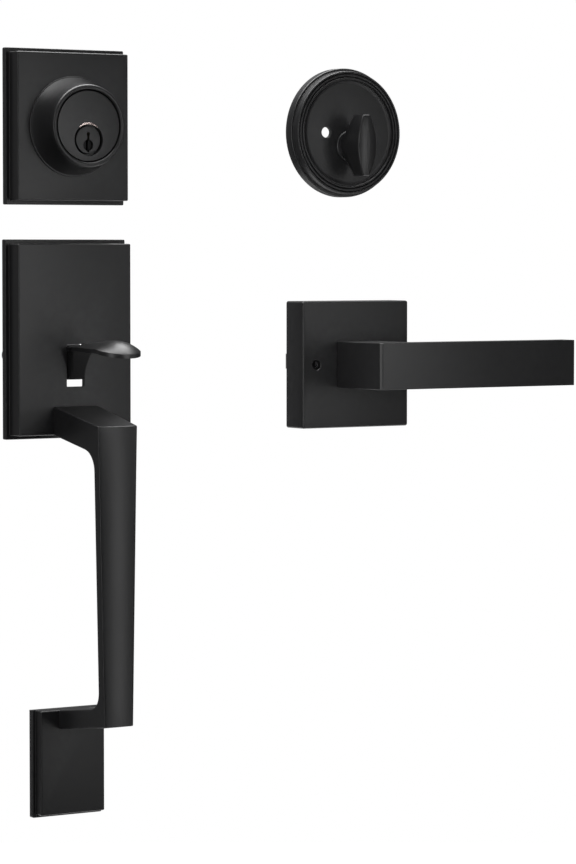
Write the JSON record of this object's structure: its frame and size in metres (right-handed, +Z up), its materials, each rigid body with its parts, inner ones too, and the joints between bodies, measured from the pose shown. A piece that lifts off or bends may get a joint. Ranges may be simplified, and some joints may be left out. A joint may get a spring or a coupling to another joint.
{
  "type": "entry door handleset",
  "caption": "Square entry handleset: deadbolt cylinder, thumb latch escutcheon with tapered pull grip and foot plate, inside thumbturn and straight lever.",
  "frame": {"origin": "centre of the escutcheon's back on the door plane", "axes": "X across the door to the right seen from the front, Y from the fronts towards the door, Z up"},
  "size_m": [0.3121, 0.116, 0.3837],
  "materials": {
    "black_coat": "satin black powder coat on zinc castings",
    "coated_face": "black coated brass cylinder body",
    "brass": "bare machined brass",
    "zinc_steel": "zinc plated steel"
  },
  "bodies": {
    "mounted_set": {"deadbolt_plate": "black_coat", "cylinder_collar": "black_coat", "cylinder_housing": "coated_face", "driver_pins": "zinc_steel", "pin_springs": "zinc_steel", "escutcheon": "black_coat", "escutcheon_posts": "zinc_steel", "thumb_bracket": "zinc_steel", "bracket_screws": "zinc_steel", "thumb_pin": "zinc_steel", "thumb_spring": "zinc_steel", "pull_grip": "black_coat", "grip_screws": "zinc_steel", "foot_plate": "black_coat", "foot_post": "zinc_steel", "foot_screw": "zinc_steel", "thumbturn_rose": "black_coat", "turn_washer": "zinc_steel", "lever_rose": "black_coat", "lever_cage": "zinc_steel", "lever_spring": "zinc_steel", "lever_screws": "zinc_steel"},
    "key_plug": {"cylinder_plug": "black_coat", "key_pins": "brass", "plug_cap": "brass", "tailpiece": "zinc_steel"},
    "thumb": {"thumbpiece": "black_coat"},
    "turn_knob": {"thumbturn": "black_coat", "turn_clip": "zinc_steel"},
    "lever": {"lever_handle": "black_coat", "lever_cam": "zinc_steel", "lever_clip": "zinc_steel", "spindle": "zinc_steel", "set_screw": "zinc_steel"}
  },
  "joints": [
    {"name": "key_turn", "type": "hinge", "parent": "mounted_set", "child": "key_plug", "pos_m": [0, 0, 0.0986], "axis": [0, 1, 0], "range_deg": [-90, 90]},
    {"name": "thumb_press", "type": "hinge", "parent": "mounted_set", "child": "thumb", "pos_m": [0, -0.0063, -0.005], "axis": [1, 0, 0], "range_deg": [0, 15], "stiffness_Nm_per_rad": 0.5, "springref_deg": -17.19},
    {"name": "thumbturn_turn", "type": "hinge", "parent": "mounted_set", "child": "turn_knob", "pos_m": [0.166, 0, 0.0986], "axis": [0, 1, 0], "range_deg": [-90, 90]},
    {"name": "lever_turn", "type": "hinge", "parent": "mounted_set", "child": "lever", "pos_m": [0.166, 0, -0.0152], "axis": [0, 1, 0], "range_deg": [-45, 45], "stiffness_Nm_per_rad": 3, "springref_deg": -3.15}
  ]
}
